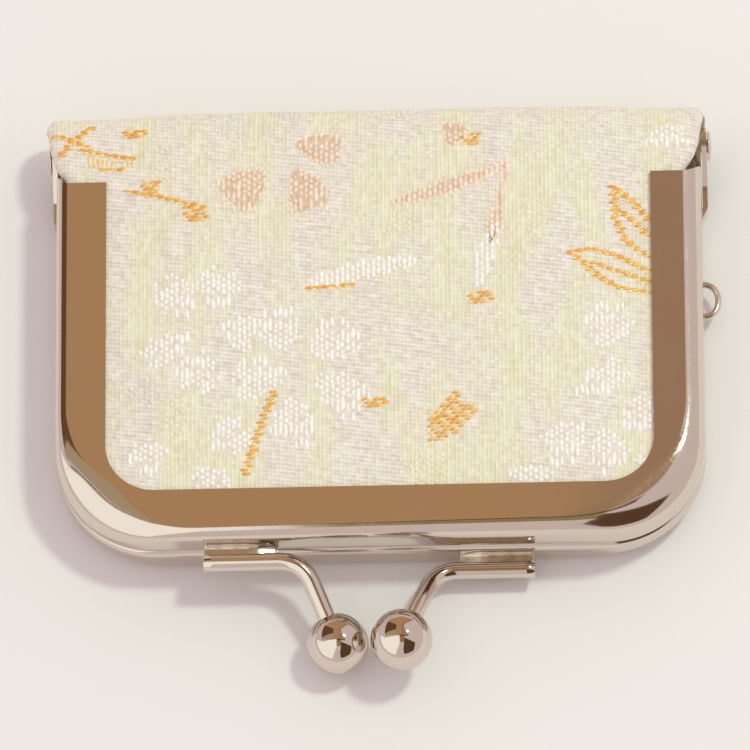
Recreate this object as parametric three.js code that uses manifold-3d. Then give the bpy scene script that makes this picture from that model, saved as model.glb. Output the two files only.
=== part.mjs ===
// Kiss-lock clasp pouch: two hinged channel frames that hold brocade panels, closed by a pair of balls.
// Built about the hinge line: X runs along the hinge, -Y is the front, +Z is the half that opens.
import * as THREE from 'three';
import { mergeVertices } from 'three/addons/utils/BufferGeometryUtils.js';
import Module from 'manifold-3d';

const wasm = await Module();
wasm.setup();

// Case, millimetres
const caseWidth = 65;
const hingeToFront = 43;
const halfThickness = 4.6;
const cornerRadius = 10;
const partingGap = 0.2;

// Channel section of the frames
const sheet = 0.5;
const flangeWidth = 5.1;
const lipWidth = 2.6;
const flangeBend = 1.5;
const cornerBend = 3.2;
const lipBend = 0.8;
const flangeToHinge = 4.5;
const flangeSweep = 1;

// Hinge ears and rivets
const earRadius = 1.9;
const earClearance = 0.1;
const earNeckAngle = 125;
const earHeelAngle = 260;
const earRoot = 2.5;
const earEdge = 0.05;
const earHollowAlong = 0.62;
const earHollowDown = 0.8;
const joggleLength = 1.4;
const rivetRadius = 0.7;
const rivetHeadRadius = 1.6;
const rivetHeadHeight = 0.4;
const rivetClearance = 0.08;

// Ball clasp
const claspCentre = -1.25;
const ballDiameter = 6.2;
const ballClearance = 0.22;
const ballLap = 1.2;
const upperBallReach = 9.5;
const lowerBallReach = 10.1;
const wireDiameter = 1.8;
const wireBend = 2.4;
const barOuterEnd = 16.45;
const barBend = 6.6;
const barStandOff = 1.6;
const upperBarHeight = 1.4;
const lowerBarHeight = -2.1;
const brazeHeight = 1;
const brazeGap = 0.02;
const socketDepth = 2;
const socketClearance = 0.08;

// Strap loop
const loopToHinge = 16;
const loopSpan = 3.5;
const loopStandOut = 1.5;
const loopWire = 0.65;
const loopHeight = -2.2;
const loopRoundness = 0.6;
const loopClearance = 0.06;

// Cloth and paper cord
const coverThickness = 0.6;
const liningThickness = 0.3;
const clothClearance = 0.05;
const clothTuck = 1.6;
const clothCornerTuck = 3.6;
const cordCornerShift = 0.7;
const coverCrown = 0.4;
const crownRun = 8;
const panelToSpine = 0.2;
const spineRadius = 4.5;
const spineNeckInset = 2.5;
const spineHingeInset = 0.8;
const spineRearProud = 0.9;
const spineFlareAngle = 50;
const spineOffset = -0.5;
const spineLiningInset = 0.6;
const spineLiningGap = 0.3;
const paperCordDiameter = 2.2;

// Facets
const cornerSteps = 10;
const bendSteps = 4;
const spineSteps = 16;
const roundSteps = 24;
const wireSides = 14;
const wireSteps = 36;
const loopSides = 10;
const cordSides = 8;
const straightSteps = 3;

const halfWidth = caseWidth / 2;
const nearParting = partingGap / 2;
const webLow = nearParting + lipBend;
const webHigh = halfThickness - flangeBend;
const degrees = THREE.MathUtils.degToRad;

// Closed geometry from a list of corners and triangles, turned so that its faces point out
function closedGeometry(points, triangles) {
  const geometry = new THREE.BufferGeometry().setFromPoints(points);
  geometry.setIndex(triangles.flat());
  const merged = mergeVertices(geometry, 1e-4);
  const index = Array.from(merged.index.array);
  const at = (i) => new THREE.Vector3().fromBufferAttribute(merged.attributes.position, i);
  const kept = [];
  let volume = 0;
  for (let i = 0; i < index.length; i += 3) {
    const [a, b, c] = index.slice(i, i + 3);
    if (a === b || b === c || c === a) continue;
    kept.push([a, b, c]);
    volume += at(a).dot(at(b).cross(at(c)));
  }
  const facingOut = volume > 0 ? kept : kept.map(([a, b, c]) => [a, c, b]);
  merged.setIndex(facingOut.flat());
  return merged;
}

function toSolid(geometry) {
  const bare = geometry.clone();
  bare.deleteAttribute('normal');
  bare.deleteAttribute('uv');
  const merged = mergeVertices(bare, 1e-4);
  return new wasm.Manifold(new wasm.Mesh({
    numProp: 3,
    vertProperties: new Float32Array(merged.attributes.position.array),
    triVerts: new Uint32Array(merged.index.array),
  }));
}

function toGeometry(solid) {
  const mesh = solid.getMesh();
  const geometry = new THREE.BufferGeometry();
  geometry.setAttribute('position', new THREE.BufferAttribute(mesh.vertProperties, 3));
  geometry.setIndex(new THREE.BufferAttribute(mesh.triVerts, 1));
  geometry.computeVertexNormals();
  return geometry;
}

// Closed sections with like corners, one at each of a row of stations, joined and capped at both ends
function sweep(sections, stations, place) {
  const count = sections[0].length;
  const points = stations.flatMap((station, i) => sections[i].map((corner) => place(station, corner)));
  const triangles = [];
  for (let i = 0; i + 1 < stations.length; i++) {
    for (let j = 0; j < count; j++) {
      const a = i * count + j;
      const b = i * count + (j + 1) % count;
      triangles.push([a, b, b + count], [a, b + count, a + count]);
    }
  }
  const last = (stations.length - 1) * count;
  for (const [a, b, c] of THREE.ShapeUtils.triangulateShape(sections[0], [])) {
    triangles.push([a, c, b], [last + a, last + b, last + c]);
  }
  return closedGeometry(points, triangles);
}

// A sheet with two faces, each a grid of rows of points, closed round its rim
function sheetBetween(outer, inner) {
  const rows = outer.length;
  const columns = outer[0].length;
  const points = [...outer.flat(), ...inner.flat()];
  const back = rows * columns;
  const triangles = [];
  const quad = (a, b, c, d) => triangles.push([a, b, c], [a, c, d]);
  for (let i = 0; i + 1 < rows; i++) {
    for (let j = 0; j + 1 < columns; j++) {
      const a = i * columns + j;
      const b = a + columns;
      quad(a, a + 1, b + 1, b);
      quad(back + a, back + b, back + b + 1, back + a + 1);
    }
    const end = i * columns + columns - 1;
    quad(i * columns, (i + 1) * columns, back + (i + 1) * columns, back + i * columns);
    quad(end, back + end, back + end + columns, end + columns);
  }
  for (let j = 0; j + 1 < columns; j++) {
    const far = (rows - 1) * columns + j;
    quad(j, back + j, back + j + 1, j + 1);
    quad(far, far + 1, back + far + 1, back + far);
  }
  return closedGeometry(points, triangles);
}

// The U outline of the case at an inset from its walls, from rear left round the front to rear right.
// caseCorner is the corner radius that the outline would have with no inset.
function outlineAt(inset, rear, caseCorner = cornerRadius) {
  const radius = Math.max(caseCorner - inset, 0);
  const side = halfWidth - inset;
  const front = -hingeToFront + inset;
  const corner = new THREE.Vector2(side - radius, front + radius);
  const half = [];
  for (let i = 0; i <= straightSteps; i++) {
    half.push(new THREE.Vector2(side, THREE.MathUtils.lerp(-rear, corner.y, i / straightSteps)));
  }
  for (let i = 1; i <= cornerSteps; i++) {
    const angle = (i / cornerSteps) * Math.PI / 2;
    half.push(new THREE.Vector2(
      corner.x + radius * Math.cos(angle),
      corner.y - radius * Math.sin(angle),
    ));
  }
  const left = half.map((p) => new THREE.Vector2(-p.x, p.y));
  return [...left, ...half.reverse()];
}

// Corner radius, with no inset, of an outline that lies deeper in the corners than along the sides
function deeperCorner(inset, cornerInset) {
  return cornerRadius + (cornerInset - inset) / (Math.SQRT2 - 1);
}

// Corners of an arc between two angles, both ends included
function arc(x, y, radius, from, to, steps) {
  return Array.from({ length: steps + 1 }, (_, i) => {
    const angle = degrees(THREE.MathUtils.lerp(from, to, i / steps));
    return new THREE.Vector2(x + radius * Math.cos(angle), y + radius * Math.sin(angle));
  });
}

// Channel section: x is the distance in from the wall, y the height above the parting plane
function channelSection(bend) {
  const top = halfThickness;
  const low = nearParting;
  const outside = [
    new THREE.Vector2(flangeWidth, top),
    ...arc(bend, top - bend, bend, 90, 180, bendSteps),
    ...arc(lipBend, low + lipBend, lipBend, 180, 270, bendSteps),
    new THREE.Vector2(lipWidth, low),
  ];
  const inside = [
    new THREE.Vector2(lipWidth, low + sheet),
    ...arc(lipBend, low + lipBend, lipBend - sheet, 270, 180, bendSteps),
    ...arc(bend, top - bend, bend - sheet, 180, 90, bendSteps),
    new THREE.Vector2(flangeWidth, top - sheet),
  ];
  return [...outside, ...inside];
}

// The channel swept round the case. Its flange bend is drawn wider in the corners than along the sides,
// and at the rear ends the cut edge sweeps back across the bend towards the ear.
function channel(half, rearSweep) {
  const wall = outlineAt(0, flangeToHinge);
  const insetOne = outlineAt(1, flangeToHinge);
  const widest = Math.min(cornerBend, halfThickness - webLow);
  const stations = wall.map((p, i) => {
    const inward = insetOne[i].clone().sub(p).normalize();
    const turned = Math.abs(2 * inward.x * inward.y);
    return { at: p, inward, bend: THREE.MathUtils.lerp(flangeBend, widest, turned ** 2), rearSweep: 0 };
  });
  for (const [end, inwardX] of [[stations[0], 1], [stations.at(-1), -1]]) {
    end.inward.set(inwardX, 0);
    end.bend = flangeBend;
    end.rearSweep = rearSweep;
  }
  const sections = stations.map((station) => channelSection(station.bend));
  return toSolid(sweep(sections, stations, (station, corner) => {
    const round = 1 - Math.min(corner.x / station.bend, 1);
    const back = corner.y > webHigh ? station.rearSweep * round ** 2 : 0;
    return new THREE.Vector3(
      station.at.x + station.inward.x * corner.x,
      station.at.y + station.inward.y * corner.x + back,
      half * corner.y,
    );
  }));
}

// A shape drawn on the side of the case, y to the right and z up, given a width along the hinge
function sideExtrusion(shape, x, width) {
  const geometry = new THREE.ExtrudeGeometry(shape, { depth: width, bevelEnabled: false, curveSegments: 10 });
  geometry.applyMatrix4(new THREE.Matrix4().makeBasis(
    new THREE.Vector3(0, 1, 0),
    new THREE.Vector3(0, 0, 1),
    new THREE.Vector3(1, 0, 0),
  ));
  return toSolid(geometry.translate(x, 0, 0));
}

// Side outline of an ear: out of the wall, down a hollow curve and round the rivet
function earShape(half, root, rearSweep) {
  const neck = degrees(earNeckAngle);
  const heel = degrees(earHeelAngle);
  const at = (y, z) => [y, half * z];
  const shape = new THREE.Shape();
  shape.moveTo(...at(-flangeToHinge - root, webLow + earEdge));
  shape.lineTo(...at(-flangeToHinge - root, webHigh - earEdge));
  shape.lineTo(...at(-flangeToHinge + rearSweep, webHigh - earEdge));
  const neckY = earRadius * Math.cos(neck);
  const neckZ = earRadius * Math.sin(neck);
  const hollow = at((-flangeToHinge + rearSweep + neckY) * earHollowAlong, neckZ * earHollowDown);
  shape.quadraticCurveTo(...hollow, ...at(neckY, neckZ));
  if (half > 0) {
    shape.absarc(0, 0, earRadius, neck, heel - 2 * Math.PI, true);
  } else {
    shape.absarc(0, 0, earRadius, -neck, 2 * Math.PI - heel, false);
  }
  shape.lineTo(...at(-flangeToHinge, webLow + earEdge));
  return shape;
}

function crossHole(radius, y, z, side) {
  const throughBothEars = 8 * sheet;
  const hole = new THREE.CylinderGeometry(radius, radius, throughBothEars, roundSteps);
  hole.rotateZ(Math.PI / 2);
  return toSolid(hole.translate(side * halfWidth, y, z));
}

function upperFrame() {
  let frame = channel(1, flangeSweep);
  for (const side of [-1, 1]) {
    const x = side > 0 ? halfWidth - sheet : -halfWidth;
    frame = frame.add(sideExtrusion(earShape(1, earRoot, flangeSweep), x, sheet));
    frame = frame.subtract(crossHole(rivetRadius + rivetClearance, 0, 0, side));
  }
  return toGeometry(frame);
}

// Plan of a lower ear: the wall pressed outward so that it passes outside the upper ear
function joggledStrip(side) {
  const inner = halfWidth - sheet;
  const step = sheet + earClearance;
  const start = -flangeToHinge - earRoot;
  const end = 2 * earRadius;
  const plan = new THREE.Shape([
    [inner, start - earRoot],
    [inner + sheet, start - earRoot],
    [inner + sheet, start - joggleLength / 2],
    [inner + sheet + step, start + joggleLength / 2],
    [inner + sheet + step, end],
    [inner + step, end],
    [inner + step, start + joggleLength / 2],
    [inner, start - joggleLength / 2],
  ].map(([x, y]) => new THREE.Vector2(side * x, y)));
  const strip = new THREE.ExtrudeGeometry(plan, { depth: 2 * halfThickness, bevelEnabled: false });
  return toSolid(strip.translate(0, 0, -halfThickness));
}

function lowerFrame() {
  let frame = channel(-1, 0);
  const start = -flangeToHinge - earRoot;
  const ear = sideExtrusion(earShape(-1, 2 * earRoot, 0), -caseWidth, 2 * caseWidth);
  const window = new THREE.Shape([
    new THREE.Vector2(start - joggleLength / 2, -webHigh),
    new THREE.Vector2(0, -webHigh),
    new THREE.Vector2(0, -webLow),
    new THREE.Vector2(start - joggleLength / 2, -webLow),
  ]);
  for (const side of [-1, 1]) {
    const x = side > 0 ? halfWidth - 2 * sheet : -halfWidth - sheet;
    frame = frame.subtract(sideExtrusion(window, x, 3 * sheet));
    frame = frame.add(joggledStrip(side).intersect(ear));
    frame = frame.subtract(crossHole(rivetRadius + rivetClearance, 0, 0, side));
  }
  for (const end of [-1, 1]) {
    const y = -loopToHinge + end * loopSpan / 2;
    frame = frame.subtract(crossHole(loopWire / 2 + loopClearance, y, loopHeight, 1));
  }
  return toGeometry(frame);
}

// Turned rivet with a domed head outside and a flat tail inside, lying along the hinge
function rivet(side) {
  const tailFace = halfWidth - sheet - earClearance;
  const headFace = halfWidth + sheet + 2 * earClearance;
  const shoulder = rivetHeadHeight / 2;
  const profile = [
    new THREE.Vector2(0, tailFace - rivetHeadHeight),
    new THREE.Vector2(rivetHeadRadius, tailFace - rivetHeadHeight),
    new THREE.Vector2(rivetHeadRadius, tailFace),
    new THREE.Vector2(rivetRadius, tailFace),
    new THREE.Vector2(rivetRadius, headFace),
    new THREE.Vector2(rivetHeadRadius, headFace),
    new THREE.Vector2(rivetHeadRadius, headFace + rivetHeadHeight - shoulder),
    new THREE.Vector2(rivetHeadRadius - shoulder, headFace + rivetHeadHeight),
    new THREE.Vector2(0, headFace + rivetHeadHeight),
  ];
  const geometry = new THREE.LatheGeometry(profile, roundSteps);
  geometry.rotateZ(-side * Math.PI / 2);
  return toGeometry(toSolid(geometry));
}

// Round wire along a path
function wire(path, diameter, sides, steps) {
  const section = new THREE.Shape(arc(0, 0, diameter / 2, 0, 360 - 360 / sides, sides - 1));
  return toSolid(new THREE.ExtrudeGeometry(section, { extrudePath: path, steps, bevelEnabled: false }));
}

// The clasp of one half: where its bar starts, turns and meets its ball
function claspPoints(half) {
  const barY = -hingeToFront - barStandOff;
  const barZ = half > 0 ? upperBarHeight : lowerBarHeight;
  const reach = half > 0 ? upperBallReach : lowerBallReach;
  const ballX = claspCentre - half * (ballDiameter + ballClearance) / 2;
  return {
    start: new THREE.Vector3(claspCentre - half * barOuterEnd, barY, barZ),
    turn: new THREE.Vector3(claspCentre - half * barBend, barY, barZ),
    ball: new THREE.Vector3(ballX, -hingeToFront - reach, -half * ballLap),
  };
}

function claspWire(half) {
  const { start, turn, ball } = claspPoints(half);
  const before = turn.clone().add(start.clone().sub(turn).setLength(wireBend));
  const after = turn.clone().add(ball.clone().sub(turn).setLength(wireBend));
  const inBall = ballDiameter / 2 - socketDepth + socketClearance;
  const end = ball.clone().add(turn.clone().sub(ball).setLength(inBall));
  const path = new THREE.CurvePath();
  path.add(new THREE.LineCurve3(start, before));
  path.add(new THREE.QuadraticBezierCurve3(before, turn, after));
  path.add(new THREE.LineCurve3(after, end));
  const depth = barStandOff - brazeGap;
  const braze = new THREE.BoxGeometry(Math.abs(before.x - start.x), depth, brazeHeight);
  braze.translate((start.x + before.x) / 2, start.y + depth / 2, start.z);
  return toGeometry(wire(path, wireDiameter, wireSides, wireSteps).add(toSolid(braze)));
}

// Ball turned with a blind socket that takes the end of its wire
function claspBall(half) {
  const { turn, ball } = claspPoints(half);
  const radius = ballDiameter / 2;
  const bore = wireDiameter / 2 + socketClearance;
  const rim = THREE.MathUtils.radToDeg(Math.acos(bore / radius));
  const profile = [
    ...arc(0, 0, radius, -90, rim, roundSteps / 2),
    new THREE.Vector2(bore, radius - socketDepth),
    new THREE.Vector2(0, radius - socketDepth),
  ];
  profile[0].x = 0;
  const geometry = new THREE.LatheGeometry(profile, roundSteps);
  const towardWire = turn.clone().sub(ball).normalize();
  geometry.applyQuaternion(new THREE.Quaternion().setFromUnitVectors(new THREE.Vector3(0, 1, 0), towardWire));
  geometry.translate(ball.x, ball.y, ball.z);
  return toGeometry(toSolid(geometry));
}

function strapLoop() {
  const at = (x, y) => new THREE.Vector3(halfWidth + x, -loopToHinge + y, loopHeight);
  const half = loopSpan / 2;
  const path = new THREE.CurvePath();
  path.add(new THREE.LineCurve3(at(-sheet, -half), at(0, -half)));
  path.add(new THREE.CubicBezierCurve3(
    at(0, -half),
    at(loopStandOut * loopRoundness, -half),
    at(loopStandOut, -half * loopRoundness),
    at(loopStandOut, 0),
  ));
  path.add(new THREE.CubicBezierCurve3(
    at(loopStandOut, 0),
    at(loopStandOut, half * loopRoundness),
    at(loopStandOut * loopRoundness, half),
    at(0, half),
  ));
  path.add(new THREE.LineCurve3(at(0, half), at(-sheet, half)));
  return toGeometry(wire(path, loopWire, loopSides, wireSteps));
}

// Height of a cloth face over a half: flat under the flange, crowned towards the middle
function crownedFace(half, edgeHeight) {
  const insets = [clothTuck, flangeWidth, flangeWidth + crownRun / 4, flangeWidth + crownRun / 2];
  insets.push(flangeWidth + crownRun, (flangeWidth + crownRun + halfWidth) / 2, halfWidth);
  const corner = deeperCorner(clothTuck, clothCornerTuck);
  return insets.map((inset) => {
    const run = THREE.MathUtils.smoothstep(inset, flangeWidth, flangeWidth + crownRun);
    const z = half * (edgeHeight + coverCrown * run);
    const outline = outlineAt(inset, flangeToHinge + panelToSpine, corner);
    return outline.map((p) => new THREE.Vector3(p.x, p.y, z));
  });
}

function panel(half, outerHeight, thickness) {
  return sheetBetween(crownedFace(half, outerHeight), crownedFace(half, outerHeight - thickness));
}

const coverHeight = halfThickness - sheet - clothClearance;
const liningHeight = coverHeight - coverThickness - clothClearance;

// Cloth wrapped round the hinge: straight runs above and below, joined by a half round.
// It is narrow between the frames and flares out behind the ears.
function spineSheet(radius, thickness, { neck, hinge, rear }) {
  const round = (angle) => THREE.MathUtils.smoothstep(90 - Math.abs(angle), 0, spineFlareAngle);
  const front = -flangeToHinge + panelToSpine;
  const face = (r) => {
    const ends = [r, -r].map((z) => ({ at: new THREE.Vector2(front, z), width: neck }));
    const bow = arc(0, 0, r, 90, -90, spineSteps).map((at, i) => ({
      at,
      width: THREE.MathUtils.lerp(hinge, rear, round(90 - 180 * i / spineSteps)),
    }));
    return [ends[0], ...bow, ends[1]].map(({ at, width }) => [-1, -0.5, 0, 0.5, 1].map((share) => (
      new THREE.Vector3(spineOffset + share * width / 2, at.x, at.y)
    )));
  };
  return sheetBetween(face(radius), face(radius - thickness));
}

// Paper cord pressed into a channel, between the lining and the lip
function paperCord(half) {
  const radius = paperCordDiameter / 2;
  const inset = sheet + clothClearance + radius;
  const height = nearParting + sheet + clothClearance + radius;
  const section = arc(0, 0, radius, 0, 360 - 360 / cordSides, cordSides - 1);
  const corner = deeperCorner(inset, inset + cordCornerShift);
  const wall = outlineAt(inset, flangeToHinge + panelToSpine, corner);
  const further = outlineAt(inset + 1, flangeToHinge + panelToSpine, corner);
  const stations = wall.map((p, i) => ({ at: p, inward: further[i].clone().sub(p).normalize() }));
  stations[0].inward.set(1, 0);
  stations.at(-1).inward.set(-1, 0);
  return sweep(stations.map(() => section), stations, (station, point) => new THREE.Vector3(
    station.at.x + station.inward.x * point.x,
    station.at.y + station.inward.y * point.x,
    half * (height + point.y),
  ));
}

// Finishes
const nickel = { color: 0xb8aea4, metalness: 1, roughness: 0.16 };
const brocade = { color: 0xe6dcc8, metalness: 0, roughness: 0.75 };
const lining = { color: 0xd9cdb8, metalness: 0, roughness: 0.9 };
const paper = { color: 0xb79a72, metalness: 0, roughness: 0.95 };

function part(name, geometry, finish) {
  const mesh = new THREE.Mesh(geometry, new THREE.MeshStandardMaterial(finish));
  mesh.name = name;
  return mesh;
}

const spineLiningRadius = spineRadius - coverThickness - spineLiningGap;
const spineNeckWidth = caseWidth - 2 * spineNeckInset;
const spineLiningWidth = spineNeckWidth - 2 * spineLiningInset;
const spineWidths = {
  neck: spineNeckWidth,
  hinge: caseWidth - 2 * spineHingeInset,
  rear: caseWidth + 2 * spineRearProud,
};
const spineLiningWidths = { neck: spineLiningWidth, hinge: spineLiningWidth, rear: spineLiningWidth };

const upperHalf = new THREE.Group();
upperHalf.add(
  part('upper_frame', upperFrame(), nickel),
  part('upper_cover', panel(1, coverHeight, coverThickness), brocade),
  part('upper_lining', panel(1, liningHeight, liningThickness), lining),
  part('upper_paper_cord', paperCord(1), paper),
  part('upper_clasp_wire', claspWire(1), nickel),
  part('upper_clasp_ball', claspBall(1), nickel),
);

const lowerHalf = new THREE.Group();
lowerHalf.add(
  part('lower_frame', lowerFrame(), nickel),
  part('lower_cover', panel(-1, coverHeight, coverThickness), brocade),
  part('lower_lining', panel(-1, liningHeight, liningThickness), lining),
  part('lower_paper_cord', paperCord(-1), paper),
  part('lower_clasp_wire', claspWire(-1), nickel),
  part('lower_clasp_ball', claspBall(-1), nickel),
  part('left_hinge_rivet', rivet(-1), nickel),
  part('right_hinge_rivet', rivet(1), nickel),
  part('strap_loop', strapLoop(), nickel),
  part('spine_cover', spineSheet(spineRadius, coverThickness, spineWidths), brocade),
  part('spine_lining', spineSheet(spineLiningRadius, liningThickness, spineLiningWidths), lining),
);

// The pouch stands on the middle of its underside
const pouch = new THREE.Group();
pouch.add(upperHalf, lowerHalf);
const box = new THREE.Box3().setFromObject(pouch, true);
const middle = box.getCenter(new THREE.Vector3());
pouch.position.set(-middle.x, -middle.y, -box.min.z);
pouch.updateMatrixWorld(true);

export default pouch;
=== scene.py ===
# Clasp pouch: polished frames round one brocade sheet, a lining, paper cords and a ball clasp
import bpy
import math
import random
from mathutils import Matrix, Vector


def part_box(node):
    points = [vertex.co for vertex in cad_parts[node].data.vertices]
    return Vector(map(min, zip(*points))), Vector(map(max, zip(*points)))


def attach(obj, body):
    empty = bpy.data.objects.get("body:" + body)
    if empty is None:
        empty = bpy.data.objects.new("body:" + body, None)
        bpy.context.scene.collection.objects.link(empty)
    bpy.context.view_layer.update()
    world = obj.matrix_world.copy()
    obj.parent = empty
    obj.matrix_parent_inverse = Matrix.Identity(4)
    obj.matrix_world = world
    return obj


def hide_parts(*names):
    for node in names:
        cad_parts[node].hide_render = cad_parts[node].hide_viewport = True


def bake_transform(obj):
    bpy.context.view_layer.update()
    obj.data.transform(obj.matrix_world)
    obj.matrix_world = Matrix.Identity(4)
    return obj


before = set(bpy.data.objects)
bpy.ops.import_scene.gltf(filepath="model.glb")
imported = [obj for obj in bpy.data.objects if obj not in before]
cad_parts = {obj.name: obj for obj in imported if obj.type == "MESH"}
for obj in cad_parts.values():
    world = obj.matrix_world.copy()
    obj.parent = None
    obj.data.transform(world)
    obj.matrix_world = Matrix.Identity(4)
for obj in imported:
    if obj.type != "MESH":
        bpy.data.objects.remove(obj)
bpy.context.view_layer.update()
print("frame loaded:", len(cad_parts), "nodes")

mm = 0.001
dice = random.Random(11)

# The case, in millimetres about the hinge line: X along the hinge, -Y to the front, +Z the half that opens
case = {
    "halfWidth": 32.5, "front": 43.0, "half": 4.6, "corner": 10.0, "parting": 0.1,
    "sheet": 0.5, "flange": 5.1, "lip": 2.6, "lipBend": 0.8, "flangeToHinge": 4.5,
}
frameLow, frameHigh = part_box("upper_frame")
hinge = Vector((
    (frameLow.x + frameHigh.x) / 2,
    frameLow.y + case["front"] * mm,
    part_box("lower_frame")[0].z + case["half"] * mm,
))


def place(point):
    return (hinge.x + point[0] * mm, hinge.y + point[1] * mm, hinge.z + point[2] * mm)


def smoothStep(low, high, value):
    t = min(max((value - low) / (high - low), 0.0), 1.0)
    return t * t * (3 - 2 * t)


def mix(a, b, t):
    return a + (b - a) * t


def gridFaces(rows, columns, start=0, keep=None):
    faces = []
    for i in range(rows - 1):
        for j in range(columns - 1):
            a = start + i * columns + j
            if keep is None or keep(i, j):
                faces.append((a, a + 1, a + columns + 1, a + columns))
    return faces


def meshPiece(name, points, faces, *materials):
    mesh = bpy.data.meshes.new(name)
    mesh.from_pydata([place(p) for p in points], [], faces)
    mesh.polygons.foreach_set("use_smooth", [True] * len(faces))
    mesh.update()
    for material in materials:
        mesh.materials.append(material)
    piece = bpy.data.objects.new(name, mesh)
    bpy.context.scene.collection.objects.link(piece)
    return piece


def fit(piece, body, slotName, *nodes):
    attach(piece, body)
    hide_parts(*nodes)
    return piece


# Materials

def hexColour(text):
    channels = [int(text[i:i + 2], 16) / 255 for i in (1, 3, 5)]
    linear = [c / 12.92 if c <= 0.04045 else ((c + 0.055) / 1.055) ** 2.4 for c in channels]
    return (*linear, 1.0)


def addNode(tree, kind, inputs=None, **settings):
    node = tree.nodes.new(kind)
    for key, value in settings.items():
        setattr(node, key, value)
    for socket, value in (inputs or {}).items():
        if isinstance(value, bpy.types.NodeSocket):
            tree.links.new(value, node.inputs[socket])
        else:
            node.inputs[socket].default_value = value
    return node


def newMaterial(name):
    material = bpy.data.materials.new(name)
    material.use_nodes = True
    tree = material.node_tree
    tree.nodes.clear()
    shader = addNode(tree, "ShaderNodeBsdfPrincipled")
    addNode(tree, "ShaderNodeOutputMaterial", {"Surface": shader.outputs[0]})
    return material, tree, shader


# Bright nickel plate on pressed steel: mirror-like, with slow ripples from the press and fine rub marks
nickel = {"colour": "#ddd3c9", "rippleSize": 11.0, "rippleDepth": 0.012, "grainSize": 0.3, "rubSize": 5.0,
          "nickSpacing": 3.4, "nickCore": 0.03, "nickEdge": 0.06, "nickRare": 0.72}


def nickelPlate(name, roughLow, roughHigh, nickRough):
    material, tree, shader = newMaterial(name)
    spot = addNode(tree, "ShaderNodeTexCoord").outputs["Object"]
    ripple = addNode(tree, "ShaderNodeTexNoise",
                     {"Vector": spot, "Scale": 1 / (nickel["rippleSize"] * mm), "Detail": 1.0})
    grain = addNode(tree, "ShaderNodeTexNoise",
                    {"Vector": spot, "Scale": 1 / (nickel["grainSize"] * mm), "Detail": 2.0})
    rub = addNode(tree, "ShaderNodeTexNoise",
                  {"Vector": spot, "Scale": 1 / (nickel["rubSize"] * mm), "Detail": 4.0})
    marks = addNode(tree, "ShaderNodeMath", {0: grain.outputs[0], 1: rub.outputs[0]}, operation="MULTIPLY")
    polish = addNode(tree, "ShaderNodeMapRange",
                     {"Value": marks.outputs[0], "From Min": 0.12, "From Max": 0.5,
                      "To Min": roughLow, "To Max": roughHigh})
    cells = addNode(tree, "ShaderNodeTexVoronoi",
                    {"Vector": spot, "Scale": 1 / (nickel["nickSpacing"] * mm)})
    spotSize = addNode(tree, "ShaderNodeMapRange",
                       {"Value": cells.outputs["Distance"], "From Min": nickel["nickCore"],
                        "From Max": nickel["nickEdge"],
                        "To Min": nickRough, "To Max": 0.0})
    pick = addNode(tree, "ShaderNodeSeparateColor", {0: cells.outputs["Color"]})
    rare = addNode(tree, "ShaderNodeMath", {0: pick.outputs[0], 1: nickel["nickRare"]},
                   operation="GREATER_THAN")
    nick = addNode(tree, "ShaderNodeMath", {0: spotSize.outputs[0], 1: rare.outputs[0]},
                   operation="MULTIPLY")
    rough = addNode(tree, "ShaderNodeMath", {0: polish.outputs[0], 1: nick.outputs[0]}, operation="MAXIMUM")
    bump = addNode(tree, "ShaderNodeBump",
                   {"Strength": 1.0, "Distance": nickel["rippleDepth"] * mm, "Height": ripple.outputs[0]})
    shader.inputs["Base Color"].default_value = hexColour(nickel["colour"])
    shader.inputs["Metallic"].default_value = 1.0
    tree.links.new(rough.outputs[0], shader.inputs["Roughness"])
    tree.links.new(bump.outputs[0], shader.inputs["Normal"])
    return material


plate = nickelPlate("nickel plated pressed steel", 0.06, 0.15, 0.6)
ballPlate = nickelPlate("nickel plated turned brass", 0.04, 0.10, 0.0)
loopWirePlate = nickelPlate("nickel plated drawn wire", 0.10, 0.22, 0.0)

# Silver solder run along the bars: dull, pitted and a little darker than the plate
braze = {
    "colour": "#cfc2b4", "pitSize": 0.8, "pitDepth": 0.012, "steps": 60, "taper": 18,
    "profile": [(0.0, 1.0), (0.1, 0.80), (0.26, 0.67), (0.5, 0.62), (1.0, 0.60), (1.55, 0.58)],  # out, up
}


def silverSolder():
    material, tree, shader = newMaterial("plated silver solder")
    spot = addNode(tree, "ShaderNodeTexCoord").outputs["Object"]
    pits = addNode(tree, "ShaderNodeTexNoise",
                   {"Vector": spot, "Scale": 1 / (braze["pitSize"] * mm), "Detail": 3.0})
    rough = addNode(tree, "ShaderNodeMapRange", {"Value": pits.outputs[0], "To Min": 0.1, "To Max": 0.35})
    bump = addNode(tree, "ShaderNodeBump",
                   {"Strength": 0.8, "Distance": braze["pitDepth"] * mm, "Height": pits.outputs[0]})
    shader.inputs["Base Color"].default_value = hexColour(braze["colour"])
    shader.inputs["Metallic"].default_value = 1.0
    tree.links.new(rough.outputs[0], shader.inputs["Roughness"])
    tree.links.new(bump.outputs[0], shader.inputs["Normal"])
    return material


# Figured rayon brocade: upright cream-green ribs beside a fine slanting lilac-beige weave, uneven thread
# by thread. The pitches are a little finer than the ribs that the photograph shows, which are about 0.5 mm
brocade = {
    "threadPitch": 0.40, "pickPitch": 0.44, "slant": 0.14, "columnWidth": 5.0, "columnLength": 14.0,
    "streakLength": 3.0, "dashLength": 1.5,
    "ribShade": "#d5cda0", "ribLight": "#f4edd4", "plainShade": "#cdbfae", "plainLight": "#f6ede2",
    "threadDepth": 0.07,
}


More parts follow.
